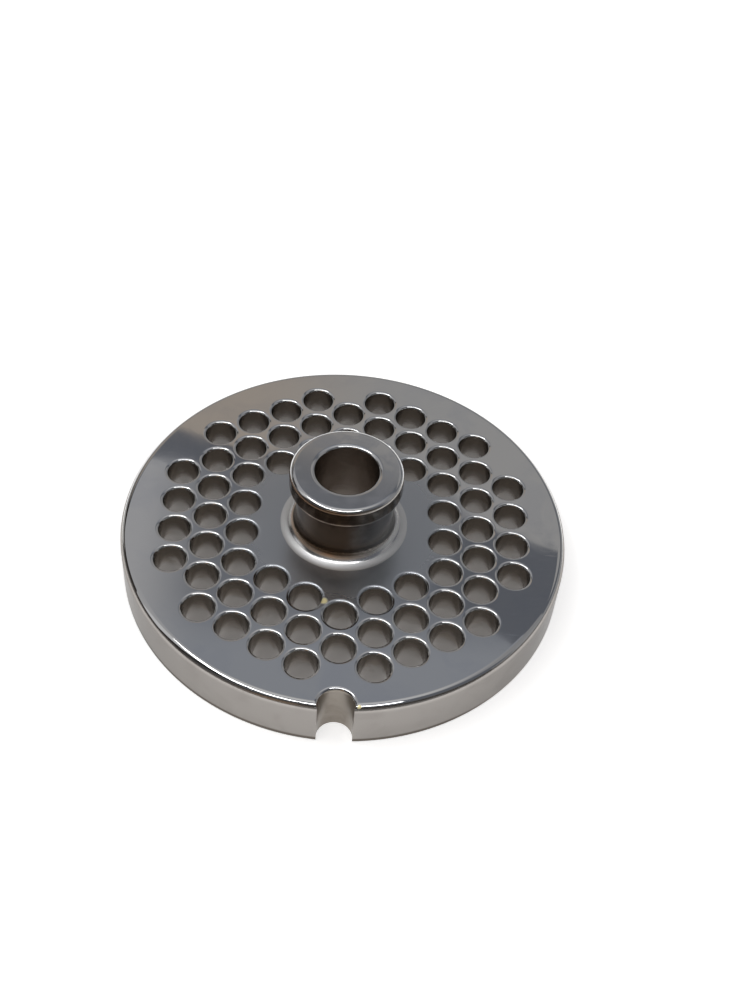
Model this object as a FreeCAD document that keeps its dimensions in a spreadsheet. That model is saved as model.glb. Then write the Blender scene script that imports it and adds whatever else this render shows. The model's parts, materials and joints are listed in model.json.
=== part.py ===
import FreeCAD, Part

import math
import os

import Sketcher

# Meat grinder plate: a round perforated disc with a flanged hub, turned from one piece of steel.
# Frame: the origin is where the bore's axis meets the flat cutting face. +Z runs along the bore
# towards the hub, and -Y points to the locating notch in the rim.

NODE = "grinder_plate"

SIZES = [
    ("plate_diameter", 70.0, "outside of the disc"),
    ("plate_thickness", 8.5, "cutting face to top face"),
    ("rim_round", 1.2, "round on the top edge of the rim"),
    ("rim_break", 0.3, "small bevel on the bottom edge of the rim"),
    ("bore_diameter", 9.8, "through the hub, for the feed screw's pin"),
    ("bore_bevel_width", 0.6, "radial width of the shallow bevel round the bore's mouth"),
    ("bore_bevel_drop", 0.2, "depth of that bevel"),
    ("bore_lead_in", 0.25, "bevel where the bore opens in the cutting face"),
    ("hub_height", 12.0, "top face of the disc to top of the hub"),
    ("neck_diameter", 15.2, "hub below its flange"),
    ("neck_fillet", 2.4, "fillet that runs from the neck into the disc"),
    ("flange_overhang", 1.15, "how far the head of the hub stands out past the neck"),
    ("flange_thickness", 3.3, "head of the hub, along the bore"),
    ("flange_round", 0.9, "round on the top edge of the flange"),
    ("flange_break", 0.35, "round on the lower edge of the flange"),
    ("hole_diameter", 4.9, "holes that the meat is pressed through"),
    ("hole_pitch", 6.1, "centre to centre of neighbouring holes"),
    ("hole_bevel", 0.3, "bevel on the top edge of each hole"),
    ("hub_land", 2.0, "least plain ring between the neck's fillet and a hole"),
    ("rim_land", 4.0, "least plain ring between a hole and the rim"),
    ("notch_radius", 2.65, "half the width of the round-ended notch"),
    ("notch_inset", 0.7, "rim to the centre of the notch's round end"),
    ("notch_bevel", 0.35, "bevel on the top edge of the notch"),
]

SECTORS = 6
RIGHT_ANGLE = 90.0
FULL_TURN = 360.0
NEAR = 1e-4


def add_sheet(doc):
    """The sheet of driving dimensions, one alias a row."""
    sheet = doc.addObject("Spreadsheet::Sheet", "sizes")
    for row, (alias, value, note) in enumerate(SIZES, start=1):
        sheet.set(f"A{row}", alias)
        sheet.set(f"B{row}", str(value))
        sheet.set(f"C{row}", note)
        sheet.setAlias(f"B{row}", alias)
    doc.recompute()
    return sheet


def origin_item(body, role):
    """An origin plane or axis of the body, found by its role."""
    for item in body.Origin.OriginFeatures:
        if item.Role == role:
            return item
    raise ValueError(f"no origin item {role}")


def new_sketch(body, name, role):
    """An empty sketch on one of the body's origin planes."""
    sketch = body.newObject("Sketcher::SketchObject", name)
    sketch.AttachmentSupport = [(origin_item(body, role), "")]
    sketch.MapMode = "FlatFace"
    return sketch


def top_sketch(body, name):
    """An empty sketch on the top face of the disc."""
    sketch = new_sketch(body, name, "XY_Plane")
    sketch.setExpression("AttachmentOffset.Base.z", "sizes.plate_thickness")
    return sketch


def rule(sketch, name, constraint, expression):
    """Adds a named dimension and binds it to the sheet."""
    index = sketch.addConstraint(constraint)
    sketch.renameConstraint(index, name)
    sketch.setExpression(f"Constraints.{name}", expression)


def closed_outline(sketch, points):
    """Joined lines through the points, closed. Returns the lines' numbers."""
    count = len(points)
    lines = []
    for index in range(count):
        start = FreeCAD.Vector(*points[index], 0)
        end = FreeCAD.Vector(*points[(index + 1) % count], 0)
        lines.append(sketch.addGeometry(Part.LineSegment(start, end), False))
    for index in range(count):
        sketch.addConstraint(
            Sketcher.Constraint("Coincident", lines[index], 2, lines[(index + 1) % count], 1)
        )
    return lines


def turned_blank(body, sheet):
    """The disc and its hub as one turned section, before any edge is rounded."""
    bore = sheet.bore_diameter / 2
    plate = sheet.plate_diameter / 2
    neck = sheet.neck_diameter / 2
    flange = neck + sheet.flange_overhang
    face = sheet.plate_thickness
    crown = face + sheet.hub_height
    ledge = crown - sheet.flange_thickness
    points = [
        (bore, 0),
        (plate, 0),
        (plate, face),
        (neck, face),
        (neck, ledge),
        (flange, ledge),
        (flange, crown),
        (bore + sheet.bore_bevel_width, crown),
        (bore, crown - sheet.bore_bevel_drop),
    ]
    sketch = new_sketch(body, "half_section", "XZ_Plane")
    lines = closed_outline(sketch, points)
    cutting_face, rim, top_face, neck_wall, ledge_face, flange_wall, crown_face, bevel, bore_wall = lines
    for level in (cutting_face, top_face, ledge_face, crown_face):
        sketch.addConstraint(Sketcher.Constraint("Horizontal", level))
    for upright in (rim, neck_wall, flange_wall, bore_wall):
        sketch.addConstraint(Sketcher.Constraint("Vertical", upright))
    sketch.addConstraint(Sketcher.Constraint("PointOnObject", cutting_face, 1, -1))
    radii = [
        ("bore_radius", cutting_face, 1, bore, "sizes.bore_diameter / 2"),
        ("plate_radius", cutting_face, 2, plate, "sizes.plate_diameter / 2"),
        ("neck_radius", neck_wall, 1, neck, "sizes.neck_diameter / 2"),
        ("flange_radius", flange_wall, 1, flange, "sizes.neck_diameter / 2 + sizes.flange_overhang"),
    ]
    for name, line, end, value, expression in radii:
        rule(sketch, name, Sketcher.Constraint("DistanceX", -1, 1, line, end, value), expression)
    heights = [
        ("disc", rim, 1, rim, 2, face, "sizes.plate_thickness"),
        ("hub", top_face, 1, flange_wall, 2, sheet.hub_height, "sizes.hub_height"),
        ("flange", flange_wall, 1, flange_wall, 2, sheet.flange_thickness, "sizes.flange_thickness"),
        ("bevel_drop", bevel, 2, bevel, 1, sheet.bore_bevel_drop, "sizes.bore_bevel_drop"),
    ]
    for name, low, low_end, high, high_end, value, expression in heights:
        constraint = Sketcher.Constraint("DistanceY", low, low_end, high, high_end, value)
        rule(sketch, name, constraint, expression)
    width = Sketcher.Constraint("DistanceX", bevel, 2, bevel, 1, sheet.bore_bevel_width)
    rule(sketch, "bevel_width", width, "sizes.bore_bevel_width")
    turned = body.newObject("PartDesign::Revolution", "turned_blank")
    turned.Profile = sketch
    turned.ReferenceAxis = (sketch, ["V_Axis"])
    turned.Angle = FULL_TURN
    body.Document.recompute()
    return turned


def ring_names(feature, radius, height):
    """Names of the circular edges round the bore's axis with this radius and height."""
    names = []
    for index, edge in enumerate(feature.Shape.Edges, start=1):
        if not isinstance(edge.Curve, Part.Circle):
            continue
        centre = edge.Curve.Center
        off_axis = math.hypot(centre.x, centre.y)
        if max(off_axis, abs(centre.z - height), abs(edge.Curve.Radius - radius)) < NEAR:
            names.append(f"Edge{index}")
    return names


def round_edge(body, base, name, radius, height, expression):
    """Rounds one ring of the turned blank."""
    fillet = body.newObject("PartDesign::Fillet", name)
    fillet.Base = (base, ring_names(base, radius, height))
    fillet.setExpression("Radius", expression)
    body.Document.recompute()
    return fillet


def bevel_edge(body, base, name, edges, expression):
    """Bevels the named edges at 45 degrees."""
    chamfer = body.newObject("PartDesign::Chamfer", name)
    chamfer.Base = (base, edges)
    chamfer.setExpression("Size", expression)
    body.Document.recompute()
    return chamfer


def finished_edges(body, sheet, turned):
    """The rounds and bevels that the lathe leaves on the disc and its hub."""
    plate = sheet.plate_diameter / 2
    neck = sheet.neck_diameter / 2
    flange = neck + sheet.flange_overhang
    face = sheet.plate_thickness
    crown = face + sheet.hub_height
    ledge = crown - sheet.flange_thickness
    rounds = [
        ("neck_fillet", neck, face, "sizes.neck_fillet"),
        ("flange_break", flange, ledge, "sizes.flange_break"),
        ("flange_round", flange, crown, "sizes.flange_round"),
        ("rim_round", plate, face, "sizes.rim_round"),
    ]
    last = turned
    for name, radius, height, expression in rounds:
        last = round_edge(body, last, f"{name}_edge", radius, height, expression)
    last = bevel_edge(body, last, "rim_break_edge", ring_names(last, plate, 0), "sizes.rim_break")
    bore_mouth = ring_names(last, sheet.bore_diameter / 2, 0)
    return bevel_edge(body, last, "bore_lead_in_edge", bore_mouth, "sizes.bore_lead_in")


def sector_sites(sheet):
    """Hole sites of one sixth of the disc, as whole and half steps of a triangular grid.

    Columns lie half the square root of three pitches apart, and every other column is set
    half a pitch along. A site is kept where a hole leaves the plain ring round the hub and
    the plain ring inside the rim. The sixth starts a quarter of its own angle before the
    first column's direction, so that no site lies on its two sides.
    """
    hole = sheet.hole_diameter / 2
    nearest = sheet.neck_diameter / 2 + sheet.neck_fillet + sheet.hub_land + hole
    farthest = sheet.plate_diameter / 2 - sheet.rim_land - hole
    reach = math.ceil(sheet.plate_diameter / sheet.hole_pitch)
    sector = FULL_TURN / SECTORS
    start = -sector / 4
    sites = []
    for column in range(reach):
        for step in range(-2 * reach, 2 * reach + 1):
            if (column + step) % 2:
                continue
            across = column * math.sqrt(3) / 2
            along = step / 2
            distance = math.hypot(across, along) * sheet.hole_pitch
            angle = math.degrees(math.atan2(along, across))
            in_sector = start <= angle < start + sector
            if in_sector and nearest <= distance <= farthest:
                sites.append((column, step))
    return sites


def place_circle(sketch, number, column, step, sheet):
    """One hole of the grid, its centre bound to the pitch."""
    across = column * math.sqrt(3) / 2 * sheet.hole_pitch
    along = step / 2 * sheet.hole_pitch
    centre = FreeCAD.Vector(across, along, 0)
    circle = Part.Circle(centre, FreeCAD.Vector(0, 0, 1), sheet.hole_diameter / 2)
    item = sketch.addGeometry(circle, False)
    across_rule = Sketcher.Constraint("DistanceX", -1, 1, item, 3, across)
    rule(sketch, f"across_{number}", across_rule, f"{column} * sqrt(3) / 2 * sizes.hole_pitch")
    if step > 0:
        along_rule = Sketcher.Constraint("DistanceY", -1, 1, item, 3, along)
    elif step < 0:
        along_rule = Sketcher.Constraint("DistanceY", item, 3, -1, 1, -along)
    else:
        sketch.addConstraint(Sketcher.Constraint("PointOnObject", item, 3, -1))
        return item
    rule(sketch, f"along_{number}", along_rule, f"{abs(step)} / 2 * sizes.hole_pitch")
    return item


def hole_field(body, sheet):
    """The perforation: one sixth drilled and bevelled from the top, then repeated round the axis."""
    sketch = top_sketch(body, "hole_centres")
    sites = sector_sites(sheet)
    circles = []
    for number, (column, step) in enumerate(sites):
        circles.append(place_circle(sketch, number, column, step, sheet))
    first = circles[0]
    width = Sketcher.Constraint("Diameter", first, sheet.hole_diameter)
    rule(sketch, "hole_diameter", width, "sizes.hole_diameter")
    for circle in circles[1:]:
        sketch.addConstraint(Sketcher.Constraint("Equal", first, circle))
    body.Document.recompute()
    drilled = body.newObject("PartDesign::Hole", "drilled_sector")
    drilled.Profile = sketch
    body.Document.recompute()
    drilled.Threaded = False
    drilled.DepthType = "ThroughAll"
    drilled.DrillPoint = "Flat"
    drilled.setExpression("Diameter", "sizes.hole_diameter")
    drilled.HoleCutType = "Countersink"
    drilled.HoleCutCustomValues = True
    drilled.HoleCutCountersinkAngle = RIGHT_ANGLE
    drilled.setExpression("HoleCutDiameter", "sizes.hole_diameter + 2 * sizes.hole_bevel")
    body.Document.recompute()
    field = body.newObject("PartDesign::PolarPattern", "hole_field")
    field.Originals = [drilled]
    field.Axis = (origin_item(body, "Z_Axis"), [""])
    field.Angle = FULL_TURN
    field.Occurrences = SECTORS
    body.Tip = field
    body.Document.recompute()
    return field, len(sites) * SECTORS


def notch_sketch(body, sheet, name, radius, radius_rule):
    """The notch's round-ended outline on the top face, open past the rim."""
    rim = sheet.plate_diameter / 2
    centre = rim - sheet.notch_inset
    past_rim = rim + radius
    sketch = top_sketch(body, name)
    middle = FreeCAD.Vector(0, -centre, 0)
    round_end = Part.ArcOfCircle(Part.Circle(middle, FreeCAD.Vector(0, 0, 1), radius), 0, math.pi)
    arc = sketch.addGeometry(round_end, False)
    corners = [(radius, -centre), (radius, -past_rim), (-radius, -past_rim), (-radius, -centre)]
    sides = []
    for start, end in zip(corners, corners[1:]):
        line = Part.LineSegment(FreeCAD.Vector(*start, 0), FreeCAD.Vector(*end, 0))
        sides.append(sketch.addGeometry(line, False))
    right, outside, left = sides
    sketch.addConstraint(Sketcher.Constraint("Tangent", arc, 1, right, 1))
    sketch.addConstraint(Sketcher.Constraint("Coincident", right, 2, outside, 1))
    sketch.addConstraint(Sketcher.Constraint("Coincident", outside, 2, left, 1))
    sketch.addConstraint(Sketcher.Constraint("Tangent", left, 2, arc, 2))
    sketch.addConstraint(Sketcher.Constraint("Vertical", right))
    sketch.addConstraint(Sketcher.Constraint("Horizontal", outside))
    sketch.addConstraint(Sketcher.Constraint("PointOnObject", arc, 3, -2))
    rule(sketch, "radius", Sketcher.Constraint("Radius", arc, radius), radius_rule)
    depth = Sketcher.Constraint("DistanceY", arc, 3, -1, 1, centre)
    rule(sketch, "centre", depth, "sizes.plate_diameter / 2 - sizes.notch_inset")
    length = Sketcher.Constraint("DistanceY", right, 2, -1, 1, past_rim)
    rule(sketch, "past_rim", length, f"sizes.plate_diameter / 2 + {radius_rule}")
    body.Document.recompute()
    return sketch


def notch(body, sheet):
    """The round-ended notch in the rim that a pin in the grinder's housing enters."""
    pocket = body.newObject("PartDesign::Pocket", "rim_notch")
    pocket.Profile = notch_sketch(
        body, sheet, "notch_outline", sheet.notch_radius, "sizes.notch_radius"
    )
    pocket.Type = "ThroughAll"
    body.Document.recompute()
    return pocket


def notch_mouth(body, sheet):
    """The bevel on the notch's top edge, which runs out level through the round of the rim."""
    mouth = body.newObject("PartDesign::Pocket", "notch_mouth")
    mouth.Profile = notch_sketch(
        body, sheet, "mouth_outline", sheet.notch_radius + sheet.notch_bevel,
        "(sizes.notch_radius + sizes.notch_bevel)"
    )
    mouth.setExpression("Length", "sizes.notch_bevel")
    mouth.TaperAngle = -RIGHT_ANGLE / 2
    body.Document.recompute()
    return mouth


def grinder_plate(doc, sheet):
    """The whole plate as one body."""
    body = doc.addObject("PartDesign::Body", NODE)
    body.Label = NODE
    turned = turned_blank(body, sheet)
    last = finished_edges(body, sheet, turned)
    before = last.Shape.Volume
    field, holes = hole_field(body, sheet)
    drilled = before - field.Shape.Volume
    print(f"{holes} holes take {drilled:.0f} cubic millimetres")
    cut = notch(body, sheet)
    print(f"the notch takes {field.Shape.Volume - cut.Shape.Volume:.1f} cubic millimetres")
    mouth = notch_mouth(body, sheet)
    print(f"its bevel takes {cut.Shape.Volume - mouth.Shape.Volume:.2f} cubic millimetres")
    body.Placement = FreeCAD.Placement()
    doc.recompute()
    return body


def check(doc, body):
    """Stops the build if a feature failed or the solid isn't sound."""
    for item in doc.Objects:
        if "Invalid" in item.State or "Error" in item.State:
            raise RuntimeError(f"{item.Label} failed: {item.State}")
    shape = body.Shape
    if shape.isNull() or not shape.isValid() or len(shape.Solids) != 1:
        raise RuntimeError(f"{body.Label} isn't one sound solid")


def main():
    doc = FreeCAD.newDocument("meat_grinder_plate")
    sheet = add_sheet(doc)
    body = grinder_plate(doc, sheet)
    check(doc, body)
    os.makedirs("parts", exist_ok=True)
    body.Shape.exportStep(f"parts/{body.Label}.step")
    box = body.Shape.optimalBoundingBox(False, False)
    print(f"{body.Label}: {box.XLength:.2f} x {box.YLength:.2f} x {box.ZLength:.2f} mm")
    print(f"volume {body.Shape.Volume:.0f} cubic millimetres, {len(body.Shape.Faces)} faces")


main()
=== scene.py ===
# %% [markdown]
# # A meat grinder plate in polished steel
# The object is one turned and drilled disc of stainless steel. It has a hub with a flange in the
# middle, 66 holes that the meat is pressed through, and a notch in its rim that stops it turning.
# This lesson models it the way a workshop makes it, then plans what a mirror-like piece of metal is
# given to reflect, and shows how one steel can look polished, turned and drilled in different places.

import json
import math

import bmesh
import bpy
from mathutils import Euler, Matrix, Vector


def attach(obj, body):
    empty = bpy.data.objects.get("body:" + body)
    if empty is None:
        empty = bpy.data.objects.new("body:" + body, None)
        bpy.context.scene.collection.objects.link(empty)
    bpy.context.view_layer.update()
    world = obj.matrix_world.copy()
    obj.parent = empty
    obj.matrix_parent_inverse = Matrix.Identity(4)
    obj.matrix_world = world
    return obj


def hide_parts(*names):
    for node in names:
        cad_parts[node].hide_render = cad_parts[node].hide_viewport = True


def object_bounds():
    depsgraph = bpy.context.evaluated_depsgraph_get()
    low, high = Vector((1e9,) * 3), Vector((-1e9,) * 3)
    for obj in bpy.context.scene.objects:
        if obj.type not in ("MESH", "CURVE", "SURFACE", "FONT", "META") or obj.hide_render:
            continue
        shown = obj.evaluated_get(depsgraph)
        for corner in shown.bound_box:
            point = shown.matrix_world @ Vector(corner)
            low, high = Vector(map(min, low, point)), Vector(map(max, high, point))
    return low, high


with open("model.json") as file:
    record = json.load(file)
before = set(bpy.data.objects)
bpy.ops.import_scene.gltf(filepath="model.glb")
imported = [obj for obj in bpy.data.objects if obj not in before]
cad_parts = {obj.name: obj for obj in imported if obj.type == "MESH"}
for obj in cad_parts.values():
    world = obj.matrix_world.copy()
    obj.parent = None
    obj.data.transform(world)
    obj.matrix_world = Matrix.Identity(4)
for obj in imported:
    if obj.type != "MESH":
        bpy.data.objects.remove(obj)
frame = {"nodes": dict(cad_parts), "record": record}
cad_low, cad_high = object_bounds()
print("nodes:", sorted(frame["nodes"]), "size in mm:", [round(1000 * s, 2) for s in cad_high - cad_low])

# %% [markdown]
# ## Sizes
# The record that is packed with the CAD model says where the plate's faces are, so its sizes are
# read from there and not typed in a second time. Everything in Blender is in metres, which makes
# such a small part awkward to write about, so MM turns millimetres into metres.

# %% Read the sizes
MM = 0.001
mounts = {mount["name"]: mount for mount in frame["record"]["mounts"]}
RIM = mounts["rim"]["dims"]["r_mm"]
BORE = mounts["bore"]["dims"]["r_mm"]
FACE = mounts["ring_seat"]["pos_m"][2] / MM
CROWN = cad_high.z / MM
print(f"rim radius {RIM} mm, bore radius {BORE} mm, top face at {FACE} mm, hub up to {CROWN:.1f} mm")

# %% [markdown]
# ## Why the plate is modelled again
# The CAD mesh has the right shape, but it was made for checks, with few facets on its small
# rounds and plain bevels where the real edges were softened by buffing. In a mirror finish both
# show. So the plate is modelled once more, to the same sizes, and the finer mesh stands for the
# CAD one. It is made in the order of the workshop: turn the hub and the rim, cut the notch, drill
# the holes. Only then are the flat faces closed.

# %% Sizes that the record doesn't hold, in millimetres
NECK = 7.6
NECK_FILLET = 2.4
FLANGE = 8.75
FLANGE_THICKNESS = 3.3
FLANGE_ROUND = 0.9
FLANGE_BREAK = 0.35
MOUTH_WIDTH = 0.65
MOUTH_DROP = 0.4
BORE_LEAD_IN = 0.25
RIM_ROUND = 1.2
RIM_BREAK = 0.3
HOLE = 2.45
HOLE_EDGE_WIDTH = 0.5
HOLE_EDGE_DROP = 0.4
HOLE_PITCH = 6.1
FIELD_INNER = 15.0
FIELD_OUTER = 29.0
NOTCH = 2.65
NOTCH_INSET = 0.7
NOTCH_ROUND = 0.6
NOTCH_FLOOR = RIM - NOTCH_INSET - NOTCH
print(f"hub {2 * FLANGE} mm across, holes {2 * HOLE} mm every {HOLE_PITCH} mm")


# %% [markdown]
# ## Turning
# A lathe makes a round part from one outline, and so does bmesh's spin: a few vertices joined by
# edges are swept once round an axis. use_merge joins the last copy to the first, so that no seam is
# left. Rounds are short arcs in the outline, and a buffed edge is an arc that is wider than it is
# deep. Working in millimetres keeps the numbers readable and far from the tiny distances at which
# Blender takes two points for one.

# %% An arc for outlines, and the lathe
def arc(centre, width, start, end, steps, drop=None):
    """Points of an arc in an outline, as distance from the axis and height. drop flattens it."""
    points = []
    for step in range(steps + 1):
        angle = math.radians(start + (end - start) * step / steps)
        points.append((centre[0] + width * math.cos(angle), centre[1] + (drop or width) * math.sin(angle)))
    return points


def turn(bm, outline, steps, axis=(0, 0), closed=False):
    """Sweeps an outline once round an upright axis."""
    x, y = axis
    points = [bm.verts.new((x + out, y, up)) for out, up in outline]
    pairs = list(zip(points, points[1:]))
    if closed:
        pairs.append((points[-1], points[0]))
    lines = [bm.edges.new(pair) for pair in pairs]
    bmesh.ops.spin(bm, geom=points + lines, cent=(x, y, 0), axis=(0, 0, 1), dvec=(0, 0, 0),
                   angle=2 * math.pi, steps=steps, use_merge=True)


print("an arc of 90 degrees in 3 steps:", [(round(x, 2), round(z, 2)) for x, z in arc((0, 0), 1, 0, 90, 3)])

# %% [markdown]
# ## Hub
# The hub's outline starts where its fillet leaves the flat face. It runs up the neck, out and
# round the flange, over the crown and down the bore to the cutting face.

# %% Outline of the hub
LEDGE = CROWN - FLANGE_THICKNESS
HUB_STEPS = 144
FILLET_STEPS = 14
BREAK_STEPS = 5
ROUND_STEPS = 10
MOUTH_STEPS = 8
hub_outline = (
    arc((NECK + NECK_FILLET, FACE + NECK_FILLET), NECK_FILLET, 270, 180, FILLET_STEPS)
    + [(NECK, LEDGE)]
    + arc((FLANGE - FLANGE_BREAK, LEDGE + FLANGE_BREAK), FLANGE_BREAK, 270, 360, BREAK_STEPS)
    + arc((FLANGE - FLANGE_ROUND, CROWN - FLANGE_ROUND), FLANGE_ROUND, 0, 90, ROUND_STEPS)
    + arc((BORE + MOUTH_WIDTH, CROWN - MOUTH_DROP), MOUTH_WIDTH, 90, 180, MOUTH_STEPS, MOUTH_DROP)
    + [(BORE, BORE_LEAD_IN), (BORE + BORE_LEAD_IN, 0)]
)
bm = bmesh.new()
turn(bm, hub_outline, HUB_STEPS)
print("hub:", len(bm.faces), "faces")

# %% [markdown]
# ## Rim and notch
# The rim is turned as a closed ring, because the notch is cut from it with a Boolean, which needs
# closed shapes. The cutter is the notch's own shape: a round-ended slot, flared at the top so that
# the cut leaves a rounded edge. Where it runs out through the rim's own round it leaves sharp
# corners, as a milling cutter does. The ring's flat faces and its inner wall are only there for the
# cut, and are taken away after it.

# %% The ring, before the notch
RING_INNER = NOTCH_FLOOR - 1
RIM_STEPS = 288
RIM_ROUND_STEPS = 12
ring_outline = (
    [(RING_INNER, FACE)]
    + arc((RIM - RIM_ROUND, FACE - RIM_ROUND), RIM_ROUND, 90, 0, RIM_ROUND_STEPS)
    + arc((RIM - RIM_BREAK, RIM_BREAK), RIM_BREAK, 0, -90, BREAK_STEPS)
    + [(RING_INNER, 0)]
)


def object_of(bm, name):
    """An object that holds a bmesh's shape. The bmesh is freed."""
    mesh = bpy.data.meshes.new(name)
    bm.to_mesh(mesh)
    bm.free()
    obj = bpy.data.objects.new(name, mesh)
    bpy.context.scene.collection.objects.link(obj)
    return obj


ring_bm = bmesh.new()
turn(ring_bm, ring_outline, RIM_STEPS, closed=True)
bmesh.ops.recalc_face_normals(ring_bm, faces=ring_bm.faces)
ring = object_of(ring_bm, "ring")
print("ring:", len(ring.data.polygons), "faces")

# %% The cutter for the notch
NOTCH_STEPS = 32
FLARE_ANGLES = (12, 24, 36, 48, 60, 72, 84)
FLARE_OUT = 2 * NOTCH_ROUND
FLARE_UP = NOTCH_ROUND / 8
PAST_RIM = 5.0
PAST_FACES = 2.0


def slot_loop(bm, wider, height):
    """The notch's outline at one height, as a closed loop of edges."""
    radius = NOTCH + wider
    outside = -RIM - PAST_RIM
    spots = [(radius, outside)]
    for step in range(NOTCH_STEPS + 1):
        angle = math.pi * step / NOTCH_STEPS
        spots.append((radius * math.cos(angle), NOTCH_INSET - RIM + radius * math.sin(angle)))
    spots.append((-radius, outside))
    points = [bm.verts.new((x, y, height)) for x, y in spots]
    return [bm.edges.new((a, b)) for a, b in zip(points, points[1:] + points[:1])]


levels = [(0, -PAST_FACES), (0, FACE - NOTCH_ROUND)]
for flare_angle in FLARE_ANGLES:
    lean = math.radians(flare_angle)
    levels.append((NOTCH_ROUND * (1 - math.cos(lean)), FACE - NOTCH_ROUND * (1 - math.sin(lean))))
levels += [(FLARE_OUT, FACE + FLARE_UP), (FLARE_OUT, FACE + PAST_FACES)]
cutter_bm = bmesh.new()
loops = [slot_loop(cutter_bm, wider, height) for wider, height in levels]
for below, above in zip(loops, loops[1:]):
    bmesh.ops.bridge_loops(cutter_bm, edges=below + above)
for end in (loops[0], loops[-1]):
    bmesh.ops.edgeloop_fill(cutter_bm, edges=end)
bmesh.ops.recalc_face_normals(cutter_bm, faces=cutter_bm.faces)
cutter = object_of(cutter_bm, "cutter")
print("cutter:", len(cutter.data.polygons), "faces")

# %% Cut the notch and keep only the ring's outside
cut = ring.modifiers.new("notch", "BOOLEAN")
cut.operation = "DIFFERENCE"
cut.solver = "EXACT"
cut.object = cutter
bpy.context.view_layer.update()
notched = bpy.data.meshes.new_from_object(ring.evaluated_get(bpy.context.evaluated_depsgraph_get()))
for used in (ring, cutter):
    bpy.data.objects.remove(used)
NEAR = 1e-3


def level_at(item, height):
    """True for a face or an edge that lies flat at this height."""
    return all(abs(v.co.z - height) < NEAR for v in item.verts)


rim_bm = bmesh.new()
rim_bm.from_mesh(notched)
spare = []
for face in rim_bm.faces:
    inside = all(v.co.xy.length < RING_INNER + NEAR for v in face.verts)
    if inside or level_at(face, FACE) or level_at(face, 0):
        spare.append(face)
bmesh.ops.delete(rim_bm, geom=spare, context="FACES")
rim_bm.to_mesh(notched)
rim_bm.free()
bm.from_mesh(notched)
print("hub and rim:", len(bm.faces), "faces")

# %% [markdown]
# ## Holes
# The 66 holes stand on a grid of equal triangles. Each is a small turned tube: an upper edge
# softened by buffing, and a straight wall down to a sharp edge in the cutting face, where the knife
# needs it sharp. One hole is turned, and the others are copies of it.

# %% Drill the holes
HOLE_STEPS = 64
HOLE_EDGE_STEPS = 10
edge_centre = (HOLE + HOLE_EDGE_WIDTH, FACE - HOLE_EDGE_DROP)
hole_outline = arc(edge_centre, HOLE_EDGE_WIDTH, 90, 180, HOLE_EDGE_STEPS, HOLE_EDGE_DROP)
hole_outline.append((HOLE, 0))
reach = math.ceil(FIELD_OUTER / HOLE_PITCH) * 2
sites = []
for column in range(-reach, reach + 1):
    for step in range(-2 * reach, 2 * reach + 1):
        spot = Vector((column * math.sqrt(3) / 2, step / 2)) * HOLE_PITCH
        if (column + step) % 2 == 0 and FIELD_INNER < spot.length < FIELD_OUTER:
            sites.append(spot)

known = set(bm.faces)
turn(bm, hole_outline, HOLE_STEPS, axis=sites[0])
first_hole = [face for face in bm.faces if face not in known]
for spot in sites[1:]:
    again = bmesh.ops.duplicate(bm, geom=first_hole)
    points = [item for item in again["geom"] if isinstance(item, bmesh.types.BMVert)]
    bmesh.ops.translate(bm, verts=points, vec=(spot - sites[0]).to_3d())
print(len(sites), "holes,", len(bm.faces), "faces")

# %% [markdown]
# ## Flat faces
# What is still missing are the two flat faces, each a disc full of openings. triangle_fill closes
# the space between all the open loops of one height at once. Its triangles are long and uneven,
# which would spoil a curved surface, but on a flat one they can't be seen.

# %% Close the faces
bmesh.ops.remove_doubles(bm, verts=bm.verts, dist=NEAR / 10)
for height, outward in ((FACE, 1), (0, -1)):
    open_edges = [edge for edge in bm.edges if edge.is_boundary and level_at(edge, height)]
    filled = bmesh.ops.triangle_fill(bm, edges=open_edges, normal=(0, 0, outward), use_beauty=True)
    print("height", height, "closed with", len(filled["geom"]), "new elements from", len(open_edges), "edges")
bmesh.ops.recalc_face_normals(bm, faces=bm.faces)
print("edges that are still open:", sum(not edge.is_manifold for edge in bm.edges))
print("volume in mm3:", round(bm.calc_volume()))

# %% [markdown]
# ## Zones
# Each tool leaves its own finish, so the mesh is divided into zones, and each zone gets a material
# slot of its own. Where a face belongs is read from where it lies. Everything that isn't the rim's
# wall, the notch, a hole, the bore, the side of the hub or the cutting face was polished. The
# polish takes in the soft edges of the holes too, and reaches a little way down the rounds of the
# rim, the notch and the flange.

# %% Sort the faces into zones
ZONES = ("polished_face", "polished_crown", "turned_rim", "milled_notch", "drilled_holes", "reamed_bore",
         "turned_hub", "cutting_face")
POLISH_REACH = 0.4


def zone_of(face):
    """The name of the zone that a face lies in, by its middle."""
    middle = face.calc_center_median()
    out = middle.xy.length
    if level_at(face, 0):
        return "cutting_face"
    if out < BORE + BORE_LEAD_IN and middle.z < CROWN - MOUTH_DROP:
        return "reamed_bore"
    if middle.z > CROWN - POLISH_REACH * FLANGE_ROUND:
        return "polished_crown"
    if out < NECK + NECK_FILLET and middle.z > FACE + NEAR:
        return "turned_hub"
    by_notch = abs(middle.x) < NOTCH + NOTCH_ROUND and middle.y < NOTCH_ROUND - NOTCH_FLOOR
    faces_notch = out < RIM - RIM_ROUND or abs(face.normal.x) > abs(face.normal.y)
    if by_notch and faces_notch and middle.z < FACE - POLISH_REACH * NOTCH_ROUND:
        return "milled_notch"
    if middle.z > FACE - HOLE_EDGE_DROP:
        return "polished_face"
    if out < RIM - RIM_ROUND:
        return "drilled_holes"
    return "turned_rim"


counts = dict.fromkeys(ZONES, 0)
for face in bm.faces:
    zone = zone_of(face)
    face.material_index = ZONES.index(zone)
    counts[zone] += 1
print("faces in each zone:", counts)

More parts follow.
